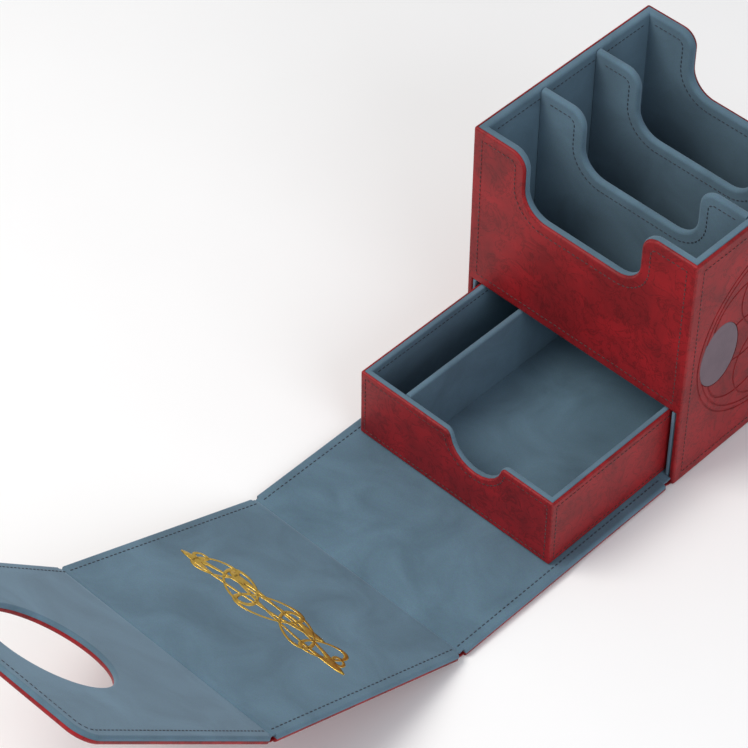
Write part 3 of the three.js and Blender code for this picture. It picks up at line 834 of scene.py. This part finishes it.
# ---- flap panels --------------------------------------------------------------------------
# Three stiff panels, each a greyboard between a red leatherette leaf outside and a blue-grey
# microfibre leaf inside. Both leaves are turned over the board's edge and meet half way. The
# pair is sewn round, except across the folds. The end panel has a round window and round corners.
FLAP_HALF = 1.6 * mm
LEAF_MEET = 0.04 * mm       # from the glued joint to each leaf's edge
LEAF_ROUND = 1.1 * mm
LEAF_WALL = 0.95 * mm
LEAF_SHEET = 0.72 * mm
FOLD_ROOM = 2.1 * mm        # from a fold's axis to its panels
FREE_CORNER = 8 * mm
WINDOW_RADIUS = 23.5 * mm
WINDOW_AT = 64.7 * mm       # from the last fold's axis
FLAP_SEAM = 3.5 * mm
UNSEWN_ROUND_WINDOW = 1.3   # times the window's radius
BACK_RAISE = math.radians(43.5)
flap_half_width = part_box("flap_front_cover")[1].x
fold_places = {j["name"]: Vector(j["pos_m"]) for j in frame["joints"] if j["type"] == "hinge"}
front_run = fold_places["top_fold"] - fold_places["front_fold"]
top_run = fold_places["back_fold"] - fold_places["top_fold"]
TOP_RAISE = math.atan2(top_run.z, -top_run.y)
BACK_LONG = 104 * mm


def place_panel(piece, fold, raised):
    """Moves a piece made flat at the origin out to its fold, and raises it."""
    piece.data.transform(Matrix.Translation(fold) @ Matrix.Rotation(-raised, 4, "X"))


def leaf(name, up, far, free, window):
    """One leaf of a panel, flat at the origin: up is 1 for the lining and -1 for the cover."""
    edge, meet = up * FLAP_HALF, up * LEAF_MEET
    made = block(name, (-flap_half_width, -far, min(edge, meet)),
                 (flap_half_width, -FOLD_ROOM, max(edge, meet)))
    if free:
        edit(made)
        pick("edges", lambda e: middle(e).y < -far + mm
             and abs(e.verts[0].co.z - e.verts[1].co.z) > FLAP_HALF / 2)
        bpy.ops.mesh.bevel(offset=FREE_CORNER, segments=12, affect="EDGES")
        leave()
    if window:
        bpy.ops.object.select_all(action="DESELECT")
        bpy.ops.mesh.primitive_cylinder_add(
            vertices=96, radius=WINDOW_RADIUS, depth=4 * CLEAR, location=(0, -window, 0))
        cut(made, bpy.context.active_object)
    ends = [-FOLD_ROOM] if free else [-FOLD_ROOM, -far]

    def off_window(spot):
        from_window = (spot.xy - Vector((0, -window))).length
        return not window or from_window > UNSEWN_ROUND_WINDOW * WINDOW_RADIUS

    wire = seam_line(made, outer_panel(made, (0, 0, up)), FLAP_SEAM, off_window, ends=ends)

    def turned(e):
        return (all(v.co.z * up > FLAP_HALF - TOUCH for v in e.verts)
                and not any(all(abs(v.co.y - end) < TOUCH for v in e.verts) for end in ends))

    soften(made, LEAF_ROUND, turned, 5)
    edit(made)
    pick("faces", lambda f: f.normal.z * up < -0.99)
    bpy.ops.mesh.inset(thickness=LEAF_WALL, use_even_offset=True)
    bpy.ops.mesh.extrude_region_move(
        TRANSFORM_OT_translate={"value": (0, 0, up * (FLAP_HALF - LEAF_MEET - LEAF_SHEET))})
    leave()
    return made, wire


for body, fold, raised, far, free, window in (
    ("flap_front", "front_fold", 0, front_run.length - FOLD_ROOM, False, 0),
    ("flap_top", "top_fold", TOP_RAISE, top_run.length - FOLD_ROOM, False, 0),
    ("flap_back", "back_fold", BACK_RAISE, BACK_LONG, True, WINDOW_AT),
):
    for layer, up, material, yarn, slot in (
        ("cover", -1, red_leatherette, maroon_thread, "red_leatherette"),
        ("lining", 1, grey_microfibre, navy_thread, "grey_microfibre"),
    ):
        made, wire = leaf(f"{body}_{layer}_leaf", up, far, free, window)
        place_panel(made, fold_places[fold], raised)
        place_panel(wire, fold_places[fold], raised)
        smooth(made)
        clad(made, material, slot, body, f"{body}_{layer}")
        sew(f"{body}_{layer}_stitching", [wire], yarn, body)

# ---- foil flourish ------------------------------------------------------------------------
# A flourish of interlaced loops in gold foil, hot stamped on the middle panel's lining. Its
# strokes swell and thin like a pen's.
FOIL_LIFT = 0.06 * mm
STROKE = 0.52 * mm
FOIL_AT = 46.5 * mm         # from the fold nearer the case
FOIL_CREASES = 1.6 * mm
gold_foil, tree, shader, place = finish("gold_foil", Metallic=1)
creased = node(tree, "ShaderNodeTexNoise", {
    "Vector": place, "Scale": 1 / FOIL_CREASES, "Detail": 4, "Distortion": 1})
foil_tone = node(tree, "ShaderNodeMix", {"data_type": "RGBA", "Factor": creased.outputs["Fac"]})
foil_tone.inputs[6].default_value = colour("#D9A83A")
foil_tone.inputs[7].default_value = colour("#F2D06B")
foil_gloss = node(tree, "ShaderNodeMapRange", {
    "Value": creased.outputs["Fac"], "To Min": 0.22, "To Max": 0.45})
bump = node(tree, "ShaderNodeBump", {
    "Height": creased.outputs["Fac"], "Strength": 0.5, "Distance": 0.1 * mm})
tree.links.new(foil_tone.outputs[2], shader.inputs["Base Color"])
tree.links.new(foil_gloss.outputs["Result"], shader.inputs["Roughness"])
tree.links.new(bump.outputs["Normal"], shader.inputs["Normal"])

loops = []
for across, width, height, lean in (
    (-26, 16, 9, 34), (-13.5, 20, 11, -30), (0, 24, 12, 32), (13.5, 20, 11, -30), (26, 16, 9, 34),
    (-8, 52, 5, 7), (8, 52, 5, -7), (-33, 5, 3.4, 20), (33, 5, 3.4, -20),
):
    bpy.ops.object.select_all(action="DESELECT")
    bpy.ops.mesh.primitive_torus_add(
        major_segments=56, minor_segments=6, major_radius=height / 2 * mm, minor_radius=STROKE)
    loop = bpy.context.active_object
    loop.scale = (width / height, 1, FOIL_LIFT / STROKE)
    bpy.ops.object.transform_apply()
    loop.rotation_euler = (0, 0, math.radians(lean))
    loop.location = (across * mm, -FOIL_AT, FLAP_HALF)
    bpy.ops.object.transform_apply()
    loops.append(loop)
activate(loops[0])
for loop in loops:
    loop.select_set(True)
bpy.ops.object.join()
flourish = loops[0]
flourish.name = "gold_flourish"
bpy.ops.object.shade_smooth()
place_panel(flourish, fold_places["top_fold"], TOP_RAISE)
flourish.data.materials.clear()
flourish.data.materials.append(gold_foil)
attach(flourish, "flap_top")

# ---- folds --------------------------------------------------------------------------------
# Where the boards stop, the leatherette and the microfibre run on alone across each fold, and are
# bent once to its rest angle. Each is creased along its middle, and is a little narrower than the
# panels.
FOLD_HALF_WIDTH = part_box("fold_strip_front")[1].x
FOLD_SHEET = 0.75 * mm
FOLD_STEPS = 10
CREASE = 0.35 * mm
CREASE_HALF = 0.25 * mm     # rows this near the fold's axis dip by the whole crease
CREASE_EDGE = 0.75 * mm     # and rows this near it by a share of it
CREASE_SHARE = 0.35
ROW_GRID = 0.05 * mm
STRIP_ROUND = 0.3 * mm
CASE_TUCK = 0.25 * mm       # the first strip starts this much nearer the axis, at the case


def fold_strip(name, up, fold, near_raised, bend, near_gap):
    """A strip of one layer across a fold, made flat, creased, and bent to its rest angle."""
    outer, inner = up * FLAP_HALF, up * (FLAP_HALF - FOLD_SHEET)
    made = block(name, (-FOLD_HALF_WIDTH, -FOLD_ROOM, min(outer, inner)),
                 (FOLD_HALF_WIDTH, near_gap, max(outer, inner)))
    soften(made, STRIP_ROUND, lambda e: abs(middle(e).x) > FOLD_HALF_WIDTH - TOUCH
           and abs(e.verts[0].co.y - e.verts[1].co.y) > mm, 2)
    edit(made)
    for step in range(1, FOLD_STEPS):
        bpy.ops.mesh.select_all(action="SELECT")
        along = -FOLD_ROOM + (FOLD_ROOM + near_gap) * step / FOLD_STEPS
        bpy.ops.mesh.bisect(plane_co=(0, along, 0), plane_no=(0, 1, 0), threshold=0.001 * mm)
    pick("verts", lambda v: abs(v.co.y) < CREASE_HALF)
    bpy.ops.transform.translate(value=(0, 0, -up * CREASE))
    pick("verts", lambda v: CREASE_HALF < abs(v.co.y) < CREASE_EDGE)
    bpy.ops.transform.translate(value=(0, 0, -up * CREASE * CREASE_SHARE))
    shape = bmesh.from_edit_mesh(made.data)
    rows = {}
    for v in shape.verts:
        rows.setdefault(round(v.co.y / ROW_GRID), []).append(v.index)
    for row, members in rows.items():
        share = min(max((near_gap - row * ROW_GRID) / (FOLD_ROOM + near_gap), 0), 1)
        turn = bend * share * share * (3 - 2 * share)
        members = set(members)
        pick("verts", lambda v: v.index in members)
        bpy.ops.transform.rotate(value=turn, orient_axis="X", center_override=(0, 0, 0))
    leave()
    place_panel(made, fold_places[fold], near_raised)
    activate(made)
    bpy.ops.object.shade_smooth_by_angle(angle=math.radians(50))
    return made


for fold, node_name, near, far, near_raised, bend in (
    ("front_fold", "fold_strip_front", "case", "flap_front", 0, 0),
    ("top_fold", "fold_strip_top", "flap_front", "flap_top", 0, TOP_RAISE),
    ("back_fold", "fold_strip_back", "flap_top", "flap_back", TOP_RAISE, BACK_RAISE - TOP_RAISE),
):
    near_gap = FOLD_ROOM - CASE_TUCK if near == "case" else FOLD_ROOM
    for layer, up, material, slot in (
        ("cover", -1, red_leatherette, "red_leatherette"),
        ("lining", 1, grey_microfibre, "grey_microfibre"),
    ):
        strip = fold_strip(f"{fold}_{layer}", up, fold, near_raised, bend, near_gap)
        strip.data.materials.clear()
        strip.data.materials.append(material)
        here = fold_places[fold]
        end = here + Matrix.Rotation(-near_raised - bend, 3, "X") @ Vector((0, -FOLD_ROOM, 0))
        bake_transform(strip)
        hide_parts(node_name)

# ---- greyboards and magnets ---------------------------------------------------------------
# The boards are grey chipboard, die-cut and hidden inside the walls and panels. Four nickel
# plated disc magnets are let into the rear wall and the end panel, and hold the flap shut.
FIBRE = 1.2 * mm
greyboard, tree, shader, place = finish("grey_chipboard", Roughness=0.95)
stretch = node(tree, "ShaderNodeMapping", {"Vector": place, "Scale": (1, 1, 4)})
pulp = node(tree, "ShaderNodeTexNoise", {
    "Vector": stretch.outputs["Vector"], "Scale": 1 / FIBRE, "Detail": 5})
pulp_tone = node(tree, "ShaderNodeMix", {"data_type": "RGBA", "Factor": pulp.outputs["Fac"]})
pulp_tone.inputs[6].default_value = colour("#857F75")
pulp_tone.inputs[7].default_value = colour("#A9A398")
bump = node(tree, "ShaderNodeBump", {
    "Height": pulp.outputs["Fac"], "Strength": 0.3, "Distance": 0.1 * mm})
tree.links.new(pulp_tone.outputs[2], shader.inputs["Base Color"])
tree.links.new(bump.outputs["Normal"], shader.inputs["Normal"])

nickel, tree, shader, place = finish("nickel_plate", Metallic=1)
cloudy = node(tree, "ShaderNodeTexNoise", {"Vector": place, "Scale": 1 / (2 * mm), "Detail": 3})
gloss = node(tree, "ShaderNodeMapRange", {
    "Value": cloudy.outputs["Fac"], "To Min": 0.2, "To Max": 0.35})
plate = node(tree, "ShaderNodeMix", {"data_type": "RGBA", "Factor": cloudy.outputs["Fac"]})
plate.inputs[6].default_value = colour("#B9B7B0")
plate.inputs[7].default_value = colour("#CFCDC6")
tree.links.new(gloss.outputs["Result"], shader.inputs["Roughness"])
tree.links.new(plate.outputs[2], shader.inputs["Base Color"])

for name, part in frame["nodes"].items():
    if not part.hide_render:
        part.data.materials.clear()
        part.data.materials.append(nickel if "magnet" in name else greyboard)

# ---- finish -------------------------------------------------------------------------------
low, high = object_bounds()
